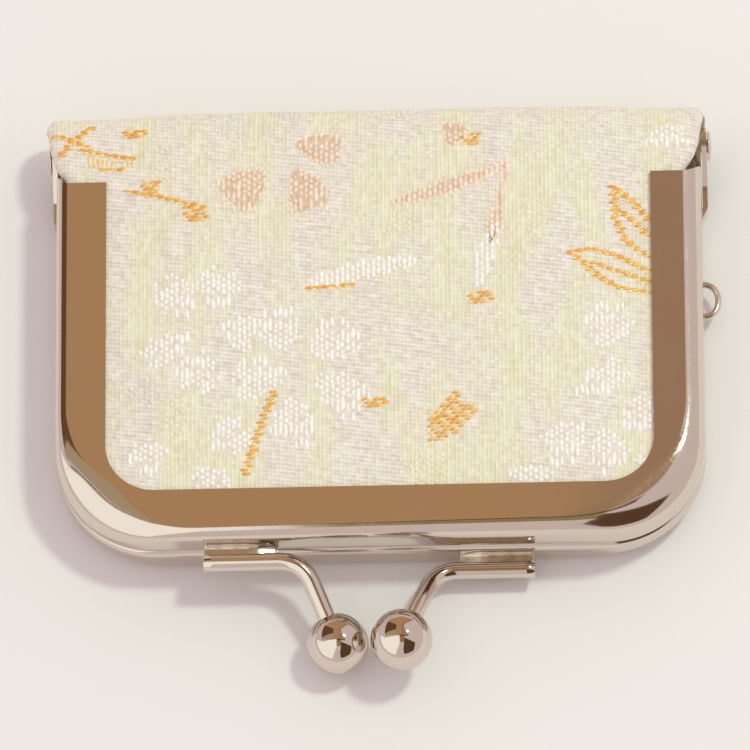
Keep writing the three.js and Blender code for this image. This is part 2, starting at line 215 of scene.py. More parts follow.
def threadWave(tree, coordinate, pitch):
    turn = addNode(tree, "ShaderNodeMath", {0: coordinate, 1: 2 * math.pi / pitch}, operation="MULTIPLY")
    wave = addNode(tree, "ShaderNodeMath", {0: turn.outputs[0]}, operation="SINE")
    return addNode(tree, "ShaderNodeMapRange",
                   {"Value": wave.outputs[0], "From Min": -1.0, "From Max": 1.0}).outputs[0]


def stretchedNoise(tree, cloth, across, along, detail):
    spread = addNode(tree, "ShaderNodeMapping", {"Vector": cloth, "Scale": (1 / across, 1 / along, 1)})
    return addNode(tree, "ShaderNodeTexNoise",
                   {"Vector": spread.outputs[0], "Scale": 1.0, "Detail": detail}).outputs[0]


def blendOf(tree, parts):
    total = None
    for value, share in parts:
        term = addNode(tree, "ShaderNodeMath", {0: value, 1: share, 2: 0.0 if total is None else total},
                       operation="MULTIPLY_ADD")
        total = term.outputs[0]
    return total


def twoTone(tree, level, low, high, shade, light):
    share = addNode(tree, "ShaderNodeMapRange", {"Value": level, "From Min": low, "From Max": high})
    return addNode(tree, "ShaderNodeMix", {0: share.outputs[0], 6: hexColour(shade), 7: hexColour(light)},
                   data_type="RGBA").outputs[2]


def wovenBrocade():
    material, tree, shader = newMaterial("rayon figured brocade")
    cloth = addNode(tree, "ShaderNodeUVMap", uv_map="cloth").outputs[0]
    split = addNode(tree, "ShaderNodeSeparateXYZ", {0: cloth})
    across, along = split.outputs[0], split.outputs[1]
    slanted = addNode(tree, "ShaderNodeMath", {0: across, 1: brocade["slant"], 2: along},
                      operation="MULTIPLY_ADD")
    turned = addNode(tree, "ShaderNodeCombineXYZ", {0: across, 1: slanted.outputs[0]}).outputs[0]
    ribs = threadWave(tree, across, brocade["threadPitch"])
    picks = threadWave(tree, slanted.outputs[0], brocade["pickPitch"])
    zone = stretchedNoise(tree, cloth, brocade["columnWidth"], brocade["columnLength"], 3.0)
    streak = stretchedNoise(tree, cloth, brocade["threadPitch"], brocade["streakLength"], 2.0)
    dash = stretchedNoise(tree, turned, brocade["dashLength"], brocade["pickPitch"], 2.0)
    knots = addNode(tree, "ShaderNodeVectorMath",
                    {0: cloth, 1: (brocade["threadPitch"], brocade["pickPitch"], 1.0)}, operation="SNAP")
    knot = addNode(tree, "ShaderNodeTexWhiteNoise", {"Vector": knots.outputs[0]}).outputs[0]
    # The rib and pick waves in these levels paint shade between the threads and light on their crowns; the
    # noises are uneven thread tones
    ribLevel = blendOf(tree, ((ribs, 0.22), (streak, 0.60), (knot, 0.22), (dash, 0.10)))
    plainLevel = blendOf(tree, ((picks, 0.20), (dash, 0.62), (knot, 0.22), (ribs, 0.08)))
    ribTone = twoTone(tree, ribLevel, 0.25, 0.82, brocade["ribShade"], brocade["ribLight"])
    plainTone = twoTone(tree, plainLevel, 0.22, 0.82, brocade["plainShade"], brocade["plainLight"])
    share = addNode(tree, "ShaderNodeMapRange",
                    {"Value": zone, "From Min": 0.40, "From Max": 0.62}).outputs[0]
    colour = addNode(tree, "ShaderNodeMix", {0: share, 6: plainTone, 7: ribTone}, data_type="RGBA")
    height = addNode(tree, "ShaderNodeMix", {0: share, 2: plainLevel, 3: ribLevel}, data_type="FLOAT")
    bump = addNode(tree, "ShaderNodeBump",
                   {"Strength": 0.7, "Distance": brocade["threadDepth"] * mm, "Height": height.outputs[0]})
    tree.links.new(colour.outputs[2], shader.inputs["Base Color"])
    tree.links.new(bump.outputs[0], shader.inputs["Normal"])
    shader.inputs["Roughness"].default_value = 0.55
    shader.inputs["Sheen Weight"].default_value = 0.12
    shader.inputs["Sheen Roughness"].default_value = 0.4
    return material


# Floating weft threads: loose silky rayon, or a flat metal-wrapped thread for the gold ones
twistSize = 0.5


def floatThread(name, shade, light, metallic, rough):
    material, tree, shader = newMaterial(name)
    spot = addNode(tree, "ShaderNodeTexCoord").outputs["Object"]
    twist = addNode(tree, "ShaderNodeTexNoise",
                    {"Vector": spot, "Scale": 1 / (twistSize * mm), "Detail": 2.0})
    colour = twoTone(tree, twist.outputs[0], 0.3, 0.7, shade, light)
    tree.links.new(colour, shader.inputs["Base Color"])
    shader.inputs["Metallic"].default_value = metallic
    shader.inputs["Roughness"].default_value = rough
    return material


threads = [
    floatThread("white rayon floats", "#f6eee6", "#fffaf4", 0.0, 0.4),
    floatThread("rose rayon floats", "#ecd0b0", "#fcebd8", 0.0, 0.4),
    floatThread("gold wrapped thread", "#e8a23b", "#fac96e", 0.2, 0.36),
    # The pale gold floats are partly pale thread and partly a painted highlight on the gold lines and blocks
    floatThread("pale gold thread and painted highlight", "#f2cd82", "#fdeabd", 0.15, 0.4),
    floatThread("cream rayon floats", "#eadfb9", "#f8f0dc", 0.0, 0.4),
    floatThread("lilac rayon floats", "#dcd0ca", "#f0e8e2", 0.0, 0.4),
    # The last two are painted shade: darker patches laid under the white and rose floats
    floatThread("painted shade under white floats", "#decfbd", "#efe4d6", 0.0, 0.6),
    floatThread("painted shade under rose floats", "#d3b190", "#e6cdb2", 0.0, 0.6),
]
whiteThread, roseThread, goldThread, paleGoldAndHighlight, creamThread, lilacThread, whiteFloatShade, roseFloatShade = range(8)


# Plain woven cotton lining: even square weave, matt, drawn coarser than such cotton so that it shows
cotton = {"pitch": 0.5, "depth": 0.08, "shade": "#cbbda4", "light": "#e3d8c4"}


def cottonLining():
    material, tree, shader = newMaterial("plain cotton lining")
    cloth = addNode(tree, "ShaderNodeUVMap", uv_map="cloth").outputs[0]
    split = addNode(tree, "ShaderNodeSeparateXYZ", {0: cloth})
    warp = threadWave(tree, split.outputs[0], cotton["pitch"])
    weft = threadWave(tree, split.outputs[1], cotton["pitch"])
    weave = addNode(tree, "ShaderNodeMath", {0: warp, 1: weft}, operation="MULTIPLY")
    # The colour follows the weave: painted shade between the threads and painted light on their crowns
    colour = twoTone(tree, weave.outputs[0], 0.0, 1.0, cotton["shade"], cotton["light"])
    bump = addNode(tree, "ShaderNodeBump",
                   {"Strength": 0.6, "Distance": cotton["depth"] * mm, "Height": weave.outputs[0]})
    tree.links.new(colour, shader.inputs["Base Color"])
    tree.links.new(bump.outputs[0], shader.inputs["Normal"])
    shader.inputs["Roughness"].default_value = 0.9
    return material


# Twisted kraft paper: brown, dry and finely creased
kraftCreases = {"size": 0.6, "depth": 0.1, "shade": "#8f7450", "light": "#c9ae85"}


def kraftPaper():
    material, tree, shader = newMaterial("twisted kraft paper")
    spot = addNode(tree, "ShaderNodeTexCoord").outputs["Object"]
    creases = addNode(tree, "ShaderNodeTexNoise",
                      {"Vector": spot, "Scale": 1 / (kraftCreases["size"] * mm), "Detail": 4.0})
    colour = twoTone(tree, creases.outputs[0], 0.0, 1.0, kraftCreases["shade"], kraftCreases["light"])
    bump = addNode(tree, "ShaderNodeBump",
                   {"Strength": 0.7, "Distance": kraftCreases["depth"] * mm, "Height": creases.outputs[0]})
    tree.links.new(colour, shader.inputs["Base Color"])
    tree.links.new(bump.outputs[0], shader.inputs["Normal"])
    shader.inputs["Roughness"].default_value = 0.95
    return material


print("materials ready")

# Frames: an outer skin of the channel and its ears, then given its sheet thickness
channel = {
    "bendLeft": 1.15, "bendRight": 1.9, "cornerAcross": 4.6, "cornerDown": 3.2, "cornerReach": 12.0,
    "rearSweep": 1.0, "sweepStart": 8.5, "weldGap": 0.01, "edgeRound": 0.09, "edgeAngle": 55,
    "flangeRows": 6, "bendRows": 14, "wallRows": 6, "lipBendRows": 5, "lipRows": 3,
    "sideSteps": 24, "cornerSteps": 32, "frontSteps": 44, "rearSteps": 4, "joggleStart": 7.7,
}
ear = {"radius": 1.9, "neck": 125.0, "heel": 260.0, "hollowAlong": 0.62, "hollowDown": 0.8,
       "joggleEnd": 6.3, "joggle": 0.6, "columns": 26}


def outlineStations():
    side, front, corner = case["halfWidth"], -case["front"], case["corner"]
    cornerY = front + corner
    rearYs = [mix(-case["flangeToHinge"], -channel["joggleStart"], i / channel["rearSteps"])
              for i in range(channel["rearSteps"])]
    sideYs = rearYs + [mix(-channel["joggleStart"], cornerY, i / channel["sideSteps"])
                       for i in range(channel["sideSteps"])]
    right = [(side, y, -1.0, 0.0, abs(y - cornerY) + corner * math.pi / 4) for y in sideYs]
    for i in range(channel["cornerSteps"] + 1):
        angle = i / channel["cornerSteps"] * math.pi / 2
        fromMiddle = abs(angle - math.pi / 4) * corner
        right.append((side - corner + corner * math.cos(angle), cornerY - corner * math.sin(angle),
                      -math.cos(angle), math.sin(angle), fromMiddle))
    left = [(-x, y, -nx, ny, d) for x, y, nx, ny, d in right]
    middle = []
    for i in range(1, channel["frontSteps"]):
        x = mix(-side + corner, side - corner, i / channel["frontSteps"])
        middle.append((x, front, 0.0, 1.0, side - corner - abs(x) + corner * math.pi / 4))
    return left + middle + right[::-1]


def bendAt(x, fromCorner):
    across = smoothStep(-case["halfWidth"], case["halfWidth"], x)
    straight = mix(channel["bendLeft"], channel["bendRight"], across)
    share = math.cos(min(fromCorner / channel["cornerReach"], 1.0) * math.pi / 2) ** 2
    return mix(straight, channel["cornerAcross"], share), mix(straight, channel["cornerDown"], share)


def channelSection(bend, down):
    top, low = case["half"], case["parting"]
    lipBend = case["lipBend"]
    rows = [(mix(case["flange"], bend, i / channel["flangeRows"]), top)
            for i in range(channel["flangeRows"])]
    for i in range(channel["bendRows"]):
        angle = math.radians(90 + 90 * i / channel["bendRows"])
        rows.append((bend + bend * math.cos(angle), top - down + down * math.sin(angle)))
    for i in range(channel["wallRows"]):
        rows.append((0.0, mix(top - down, low + lipBend, i / channel["wallRows"])))
    for i in range(channel["lipBendRows"]):
        angle = math.radians(180 + 90 * i / channel["lipBendRows"])
        rows.append((lipBend + lipBend * math.cos(angle), low + lipBend + lipBend * math.sin(angle)))
    for i in range(channel["lipRows"] + 1):
        rows.append((mix(lipBend, case["lip"], i / channel["lipRows"]), low))
    return rows


def alongLine(points, share):
    lengths = [math.dist(a, b) for a, b in zip(points, points[1:])]
    left = share * sum(lengths)
    for a, b, length in zip(points, points[1:], lengths):
        if left <= length:
            return tuple(mix(p, q, left / length) for p, q in zip(a, b))
        left -= length
    return points[-1]


def earOutlines(startY, sweep, high, low):
    flangeEnd = -case["flangeToHinge"]
    radius = ear["radius"]
    neck = (radius * math.cos(math.radians(ear["neck"])), radius * math.sin(math.radians(ear["neck"])))
    hollow = ((flangeEnd + sweep + neck[0]) * ear["hollowAlong"], neck[1] * ear["hollowDown"])
    begin = (flangeEnd + sweep, high)
    top = [(startY, high)] if startY < flangeEnd else []
    for i in range(13):
        t = i / 12
        top.append(tuple((1 - t) ** 2 * begin[k] + 2 * t * (1 - t) * hollow[k] + t * t * neck[k]
                         for k in (0, 1)))
    heel = math.radians(ear["heel"])
    bottom = [(startY, low), (flangeEnd, low)] if startY < flangeEnd else [(flangeEnd, low)]
    for i in range(25):
        t = i / 24
        a = math.radians(mix(ear["neck"], 0, t))
        b = mix(heel, 2 * math.pi, t)
        top.append((radius * math.cos(a), radius * math.sin(a)))
        bottom.append((radius * math.cos(b), radius * math.sin(b)))
    return top, bottom


def channelFrame(name, half, sweep, slit):
    stations = outlineStations()
    sections = [channelSection(*bendAt(x, d)) for x, y, nx, ny, d in stations]
    columns = len(sections[0])
    firstWall = channel["flangeRows"] + channel["bendRows"]
    lastWall = firstWall + channel["wallRows"]
    points = []
    for (x, y, nx, ny, d), section in zip(stations, sections):
        rear = smoothStep(-channel["sweepStart"], -case["flangeToHinge"], y) * sweep
        bend = bendAt(x, d)[0]
        for j, (inset, z) in enumerate(section):
            if j < firstWall:
                share = max(1 - inset / bend, 0) ** 2
            else:
                share = max(1 - (j - firstWall) / channel["wallRows"], 0)
            points.append((x + nx * inset, y + ny * inset + rear * share, half * z))

    def keep(i, j):
        inWall = firstWall <= j < lastWall
        behindSlit = min(stations[i][1], stations[i + 1][1]) > -channel["joggleStart"] - 0.01
        return not (slit and inWall and behindSlit)

    faces = gridFaces(len(stations), columns, 0, keep)
    rows = channel["wallRows"] + 1
    for side in (-1, 1):
        skip = channel["rearSteps"] if slit else 0
        station = skip if side < 0 else -1 - skip
        wall = sections[station][firstWall:lastWall + 1]
        startY = stations[station][1]
        top, bottom = earOutlines(startY, sweep, wall[0][1], wall[-1][1])
        start = len(points)
        for i in range(ear["columns"] + 1):
            share = i / ear["columns"]
            share = 1 - (1 - share) ** 1.5
            a, b = alongLine(top, share), alongLine(bottom, share)
            for j in range(rows):
                y, z = (mix(p, q, j / (rows - 1)) for p, q in zip(a, b))
                lapped = smoothStep(-channel["joggleStart"], -ear["joggleEnd"], y) if slit else 0
                points.append((side * (case["halfWidth"] + ear["joggle"] * lapped), y, half * z))
        earFaces = gridFaces(ear["columns"] + 1, rows, start)
        faces += [f[::-1] for f in earFaces] if side < 0 else earFaces
    if half < 0:
        faces = [f[::-1] for f in faces]
    piece = meshPiece(name, points, faces, plate)
    weld = piece.modifiers.new("weld", "WELD")
    weld.merge_threshold = channel["weldGap"] * mm
    wallThickness = piece.modifiers.new("sheet thickness", "SOLIDIFY")
    wallThickness.thickness = case["sheet"] * mm
    wallThickness.offset = -1
    edges = piece.modifiers.new("sheared edges", "BEVEL")
    edges.width = channel["edgeRound"] * mm
    edges.segments = 2
    edges.limit_method = "ANGLE"
    edges.angle_limit = math.radians(channel["edgeAngle"])
    edges.harden_normals = True
    return piece


fit(channelFrame("plated_upper_frame", 1, channel["rearSweep"], False),
    "upper_half", "plated_frame", "upper_frame")
fit(channelFrame("plated_lower_frame", -1, 0.0, True), "lower_half", "plated_frame", "lower_frame")
print("frames made")


# Round wire along a list of points, with slightly rounded ends
def tubeMesh(path, radius, sides):
    path = [Vector(p) for p in path]
    last = len(path) - 1
    tangents = [(path[min(i + 1, last)] - path[max(i - 1, 0)]).normalized() for i in range(last + 1)]
    normal = tangents[0].orthogonal().normalized()
    points, faces = [], []
    rings = []
    for i, (p, t) in enumerate(zip(path, tangents)):
        normal = (normal - t * normal.dot(t)).normalized()
        other = t.cross(normal)
        profile = [(0.0, 1.0)]
        if i == 0:
            profile = [(-0.10, 0.0), (-0.10, 0.80), (-0.03, 0.96), (0.0, 1.0)]
        if i == last:
            profile = [(0.0, 1.0), (0.03, 0.96), (0.10, 0.80), (0.10, 0.0)]
        for shift, scale in profile:
            centre = p + t * shift * radius
            rings.append([centre + (normal * math.cos(a) + other * math.sin(a)) * radius * scale
                          for a in (2 * math.pi * k / sides for k in range(sides))])
    for ring in rings:
        points += ring
    for i in range(len(rings) - 1):
        for k in range(sides):
            a, b = i * sides + k, i * sides + (k + 1) % sides
            faces.append((a, b, b + sides, a + sides))
    return points, faces


# Ball clasp: a bar along the front wall, a bend and a ball on each half
clasp = {
    "centre": -1.25, "barEnd": 16.45, "barBend": 6.6, "bendRound": 2.4, "standOff": 1.6, "wire": 1.8,
    "ball": 6.2, "ballGap": 0.22, "ballLap": 1.2, "reach": {1: 9.5, -1: 10.1},
    "barHeight": {1: 1.4, -1: -2.1}, "inBall": 2.0, "collar": 1.25,
}


def claspPoints(half):
    barY = -case["front"] - clasp["standOff"]
    barZ = clasp["barHeight"][half]
    start = Vector((clasp["centre"] - half * clasp["barEnd"], barY, barZ))
    turn = Vector((clasp["centre"] - half * clasp["barBend"], barY, barZ))
    ball = Vector((clasp["centre"] - half * (clasp["ball"] + clasp["ballGap"]) / 2,
                   -case["front"] - clasp["reach"][half], -half * clasp["ballLap"]))
    return start, turn, ball


def claspWire(name, half):
    start, turn, ball = claspPoints(half)
    before = turn + (start - turn).normalized() * clasp["bendRound"]
    after = turn + (ball - turn).normalized() * clasp["bendRound"]
    end = ball + (turn - ball).normalized() * (clasp["ball"] / 2 - clasp["inBall"])
    path = [start.lerp(before, i / 8) for i in range(8)]
    path += [before.lerp(turn, i / 14).lerp(turn.lerp(after, i / 14), i / 14) for i in range(14)]
    path += [after.lerp(end, i / 8) for i in range(9)]
    return meshPiece(name, *tubeMesh(path, clasp["wire"] / 2, 40), plate)


# The solder that holds the bar: a hollow-sided strip from the wall to the bar, uneven along its length
def brazeStrip(name, half):
    start, turn, ball = claspPoints(half)
    inner = turn.x - half * clasp["bendRound"]
    depth = clasp["standOff"]
    profile = braze["profile"] + [(out, -up) for out, up in braze["profile"][::-1]]
    points, faces = [], []
    steps = braze["steps"]
    for i in range(steps + 1):
        x = mix(start.x + half * 0.05, inner, i / steps)
        swell = 1 + 0.03 * math.sin(x * 1.3 + half) + 0.01 * math.sin(x * 3.7)
        close = (0.8 if i == 0 else 1.0) * (0.2 + 0.8 * smoothStep(0, braze["taper"], steps - i))
        for out, up in profile:
            points.append((x, -case["front"] - min(out, depth + 0.1), start.z + up * swell * close))
    count = len(profile)
    for i in range(steps):
        for k in range(count):
            a, b = i * count + k, i * count + (k + 1) % count
            faces.append((a, b, b + count, a + count))
    faces.append(tuple(range(count))[::-1])
    faces.append(tuple(steps * count + k for k in range(count)))
    return meshPiece(name, points, faces, solder)


def turnedPiece(name, profile, origin, axis, steps, *materials):
    axis = Vector(axis).normalized()
    first = axis.orthogonal().normalized()
    second = axis.cross(first)
    points, faces = [], []
    for along, out in profile:
        for k in range(steps):
            a = 2 * math.pi * k / steps
            points.append(Vector(origin) + axis * along + (first * math.cos(a) + second * math.sin(a)) * out)
    for i in range(len(profile) - 1):
        for k in range(steps):
            a, b = i * steps + k, i * steps + (k + 1) % steps
            faces.append((a, b, b + steps, a + steps))
    return meshPiece(name, points, faces, *materials)


def claspBall(name, half):
    start, turn, ball = claspPoints(half)
    radius = clasp["ball"] / 2
    axis = turn - ball
    rim = math.asin(clasp["collar"] / radius)
    profile = []
    for i in range(49):
        a = mix(math.pi, rim, i / 48)
        profile.append((radius * math.cos(a), max(radius * math.sin(a), 0.001)))
    lip = radius * math.cos(rim)
    profile += [(lip + 0.03, 1.15), (lip + 0.02, 1.0), (lip - 0.25, 0.86)]
    return turnedPiece(name, profile, ball, axis, 72, ballPlate)


solder = silverSolder()
for half, side, body in ((1, "upper", "upper_half"), (-1, "lower", "lower_half")):
    fit(claspWire(f"plated_{side}_clasp_wire", half), body, "plated_frame", f"{side}_clasp_wire")
    strip = brazeStrip(f"{side}_clasp_braze", half)
    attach(strip, body)
    fit(claspBall(f"polished_{side}_ball", half), body, "plated_frame", f"{side}_clasp_ball")

# Hinge rivets: a low dome outside the ears and a flat tail inside
rivet = {"shank": 0.7, "head": 1.6, "seat": 1.5, "dome": 0.4, "rim": 0.06,
         "headFace": 33.2, "tailFace": 31.9}
for side, name in ((-1, "left_hinge_rivet"), (1, "right_hinge_rivet")):
    tail, head, dome = rivet["tailFace"], rivet["headFace"], rivet["dome"]
    shank, seat, rim = rivet["shank"], rivet["seat"], rivet["rim"]
    profile = [(tail - dome, 0.001), (tail - dome, 1.45), (tail - 0.3, 1.58), (tail - 0.08, rivet["head"]),
               (tail, seat), (tail, shank), (head, shank), (head, seat), (head + rim, rivet["head"])]
    for i in range(1, 11):
        a = i / 10 * math.pi / 2
        profile.append((head + rim + (dome - rim) * math.sin(a), max(rivet["head"] * math.cos(a), 0.001)))
    fit(turnedPiece(f"domed_{name}", profile, (0, 0, 0), (side, 0, 0), 48, ballPlate),
        "lower_half", "plated_frame", name)

# Strap loop: a wire staple through the right wall
loop = {"toHinge": 16.0, "span": 3.5, "standOut": 1.5, "wire": 0.65, "height": -2.2, "roundness": 0.6}


def strapLoop():
    wall, half = case["halfWidth"], loop["span"] / 2
    corners = [(0, -half), (loop["standOut"] * loop["roundness"], -half),
               (loop["standOut"], -half * loop["roundness"]), (loop["standOut"], 0)]
    arm = []
    for i in range(17):
        t = i / 16
        weights = ((1 - t) ** 3, 3 * t * (1 - t) ** 2, 3 * t * t * (1 - t), t ** 3)
        arm.append(tuple(sum(w * c[k] for w, c in zip(weights, corners)) for k in (0, 1)))
    flat = [(-case["sheet"], -half)] + arm + [(x, -y) for x, y in arm[-2::-1]] + [(-case["sheet"], half)]
    path = [(wall + x, -loop["toHinge"] + y, loop["height"]) for x, y in flat]
    return meshPiece("drawn_strap_loop", *tubeMesh(path, loop["wire"] / 2, 20), loopWirePlate)


fit(strapLoop(), "lower_half", "plated_frame", "strap_loop")
print("clasp, rivets and loop made")

# One brocade sheet: upper panel, round the hinge, lower panel. u runs across, v along it from the hinge top
cloth = {
    "frontEdge": 41.4, "corner": 13.0, "height": 4.05, "crown": {1: 0.42, -1: 0.24}, "crownRun": 8.0,
    "radius": 4.47, "offset": -0.37, "curl": 1.1, "dent": 0.4, "pucker": 0.035, "hem": 1.1, "fold": 0.22,
    "halfWidths": [(-8.0, 30.9), (-4.4, 31.0), (-3.6, 31.45), (-2.4, 32.15), (-0.8, 32.65), (2.6, 33.05),
                   (7.1, 33.3)],
    "rows": 260, "columns": 130,
}
liningCloth = dict(cloth, height=3.40, radius=3.45, curl=0.0, dent=0.3, pucker=0.05, rows=130, columns=60,
                   halfWidths=[(-8.0, 30.9), (-4.4, 29.4), (5.5, 29.4)])


def fromHinge(sheet, v):
    arc = math.pi * sheet["radius"]
    return (v, 1) if v < arc / 2 else (arc - v, -1)


def sheetEdges(sheet, v):
    t = fromHinge(sheet, v)[0]
    widths = sheet["halfWidths"]
    half = widths[0][1]
    for (t0, w0), (t1, w1) in zip(widths, widths[1:]):
        if t > t0:
            half = mix(w0, w1, min((t - t0) / (t1 - t0), 1.0))
    corner = sheet["corner"]
    fromFront = t + sheet["frontEdge"]
    if fromFront < corner:
        half -= corner - math.sqrt(max(corner ** 2 - (corner - fromFront) ** 2, 0))
    shift = sheet["offset"] * smoothStep(-12.0, -4.5, t)
    return shift - half, shift + half


def sheetPoint(sheet, u, v, lift=0.0):
    t, side = fromHinge(sheet, v)
    inset = min(case["halfWidth"] - abs(u), case["front"] + t)
    rise = smoothStep(case["flange"], case["flange"] + sheet["crownRun"], inset)
    free = smoothStep(case["flange"], case["flange"] + 2.5, inset)
    # slow waves, about 12 mm long
    pucker = math.sin(0.55 * u + 1.7 * math.sin(0.21 * v)) + math.sin(0.47 * v + 1.1 * math.sin(0.3 * u + 2))
    rearward = smoothStep(-3.0, math.pi / 2 * sheet["radius"], t)
    crown = mix(sheet["crown"][side], (sheet["crown"][1] + sheet["crown"][-1]) / 2, rearward)
    height = sheet["height"] + crown * rise + sheet["pucker"] * pucker * free
    if sheet["curl"]:
        low, high = sheetEdges(sheet, v)
        toEdge = min(max(min(u - low, high - u) / sheet["curl"], 0.0), 1.0)
        drop = 1 - math.sqrt(1 - 0.85 * (1 - toEdge) ** 2)
        height -= sheet["curl"] * drop * smoothStep(-5.4, -3.6, t)
    height += lift
    if t <= 0:
        return (u, t, side * height)
    turn = t / sheet["radius"]
    z = height * math.cos(turn)
    dent = sheet["dent"] * math.exp(-(z / 1.5) ** 2)
    return (u, height * math.sin(turn) - dent, side * z)


def sheetMesh(name, sheet, material):
    arc = math.pi * sheet["radius"]
    first, last = -sheet["frontEdge"], arc + sheet["frontEdge"]
    turnUnder = [(-sheet["hem"], 2 * sheet["fold"]), (-0.2, 2 * sheet["fold"]), (0.08, sheet["fold"])]
    points, places = [], []
    for i in range(sheet["rows"] + 1):
        v = mix(first, last, i / sheet["rows"])
        low, high = sheetEdges(sheet, v)
        across = [(low - reach, -sink) for reach, sink in turnUnder]
        across += [(low + toward, 0.0) for toward in (0.0, 0.15, 0.35, 0.6, 0.9)]
        across += [(mix(low + 1.2, high - 1.2, j / sheet["columns"]), 0.0)
                   for j in range(sheet["columns"] + 1)]
        across += [(high - toward, 0.0) for toward in (0.9, 0.6, 0.35, 0.15, 0.0)]
        across += [(high + reach, -sink) for reach, sink in turnUnder[::-1]]
        for u, lift in across:
            points.append(sheetPoint(sheet, u, v, lift))
            places.append((u, v))
    count = len(across)
    piece = meshPiece(name, points, gridFaces(sheet["rows"] + 1, count), material)
    layer = piece.data.uv_layers.new(name="cloth")
    for corner in piece.data.loops:
        layer.data[corner.index].uv = places[corner.vertex_index]
    return piece


def foldAtHinge(piece):
    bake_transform(piece)


sheetPiece = sheetMesh("brocade_sheet", cloth, wovenBrocade())
liningPiece = sheetMesh("lining_sheet", liningCloth, cottonLining())
print("cloth sheets made")

# Woven figures: rows of short floats that lie on the ground weave. Places are u, v on the sheet
figures = {
    "columnPitch": 0.52, "rowPitch": 0.64, "dot": (0.30, 0.20), "long": (0.60, 0.20), "gold": (0.46, 0.17),
    "goldPitch": 0.62, "goldRow": 0.36, "sides": 8, "bedColumns": 7,
    "height": 0.11, "bedLift": 0.02, "repeats": [(0.0, 0.0), (13.0, 54.5), (-52.0, 54.5)],
}
# u, v, length, width, direction of the tip, side that has the long floats
whitePetals = [
    (-20.2, -17.1, 5.6, 3.9, 132, -60), (-16.2, -16.4, 5.0, 4.4, 76, -100),
    (-21.4, -22.7, 5.9, 3.2, -151, 20), (-18.2, -25.3, 4.9, 4.3, -102, 120),
    (-14.1, -21.1, 4.2, 3.8, -13, 170), (-10.2, -20.8, 5.8, 4.6, 117, 110),
    (-12.0, -26.0, 6.4, 4.3, -161, 60), (-4.5, -22.0, 6.2, 4.8, 36, 60),
    (-3.7, -27.9, 6.8, 4.4, -35, -60), (-8.7, -31.0, 5.8, 4.8, -95, -90),
    (-23.1, -34.4, 4.6, 3.8, -149, -100), (-15.0, -32.3, 4.6, 3.8, 38, -150),
    (-17.0, -37.1, 4.8, 3.8, -49, -90), (23.0, -21.1, 5.6, 4.6, 78, 110),
    (22.4, -26.8, 6.4, 3.4, 29, -120), (18.4, -33.4, 5.8, 4.2, -141, -100),
    (22.8, -34.5, 5.4, 4.2, -71, -90), (26.3, -30.6, 5.0, 4.4, 23, -140),
    (15.4, -37.1, 5.6, 2.4, -13, -90), (26.5, -36.0, 2.8, 2.2, -43, -90),
    (29.2, -0.7, 5.2, 2.8, 10, -90),
]
rosePetals = [
    (-13.6, -5.5, 6.0, 4.6, -140, -120), (-7.2, -6.0, 6.0, 4.2, -65, -60),
    (-5.7, -1.2, 6.0, 3.4, -10, 90), (7.7, 0.2, 3.2, 2.8, -47, 90),
]
# thread, u, v, width, height of faint patches of upright floats
faintPatches = [
    (creamThread, -21.6, -2.4, 3.2, 4.2), (lilacThread, -13.2, 1.4, 5.6, 3.2),
    (lilacThread, -9.0, 3.4, 3.4, 2.2), (creamThread, 0.7, 3.0, 5.4, 1.8),
    (lilacThread, -23.6, -27.0, 3.0, 3.4), (creamThread, -20.4, -29.8, 2.4, 4.8),
    (creamThread, 16.0, -9.5, 2.4, 5.0), (creamThread, 5.0, -36.0, 4.0, 4.0),
    (creamThread, 2.4, -9.8, 3.0, 3.6),
]
# thread, width and middle line of each slender leaf
slenderLeaves = [
    (roseThread, 1.4, [(1.0, -7.4), (5.2, -6.3), (9.2, -4.9), (12.4, -3.5)]),
    (whiteThread, 1.5, [(-6.6, -15.8), (-3.3, -15.0), (0.2, -14.2), (3.9, -13.6)]),
    (roseThread, 0.5, [(12.8, -2.9), (12.4, -6.0), (12.0, -8.6)]),
    (roseThread, 1.5, [(12.3, -7.8), (11.8, -9.6), (11.0, -12.2)]),
    (whiteThread, 1.3, [(12.0, -9.9), (10.9, -12.6), (9.9, -16.4)]),
]
goldLines = [
    [(-10.5, -27.7), (-11.6, -30.5), (-12.6, -33.5), (-13.5, -36.3)],
    [(-32.6, 1.0), (-31.4, 0.5), (-29.6, -0.4)], [(-32.3, -1.7), (-31.0, 0.0), (-28.9, 2.1)],
    [(-29.8, -0.8), (-26.8, -1.5), (-24.7, -1.9)], [(-27.6, -3.0), (-25.9, -3.0)],
    [(-25.2, -5.4), (-22.0, -6.2), (-17.6, -7.5)],
    [(19.5, -13.2), (21.4, -12.8), (23.9, -13.6), (27.1, -15.2)],
    [(19.5, -13.4), (20.6, -14.3), (22.1, -15.8), (23.9, -17.0), (27.1, -17.6)],
    [(21.7, -14.4), (27.1, -16.4)], [(23.7, -6.1), (23.9, -9.7), (24.9, -12.0), (27.1, -13.7)],
    [(23.7, -6.1), (25.8, -7.9), (27.2, -9.7)], [(24.1, -8.6), (25.8, -9.9), (27.2, -11.4)],
    [(-6.8, -16.5), (-2.6, -16.2)],
]
# u, v, width, height of small gold blocks
goldBlocks = [
    (10.3, -17.7, 2.2, 1.3), (9.5, -0.4, 1.7, 1.3), (-0.5, -28.8, 2.0, 1.0), (-23.0, -4.9, 1.5, 1.3),
    (-18.5, -8.0, 1.9, 1.6), (-24.7, 1.0, 1.9, 0.8),
]
goldBell = [(7.8, -27.8), (8.3, -29.3), (10.2, -29.1), (8.8, -31.5), (6.3, -33.4), (4.8, -33.1),
            (4.9, -30.3)]


def inPolygon(u, v, corners):
    inside = False
    for (a, b), (c, d) in zip(corners, corners[1:] + corners[:1]):
        if (b > v) != (d > v) and u < (c - a) * (v - b) / (d - b) + a:
            inside = not inside
    return inside


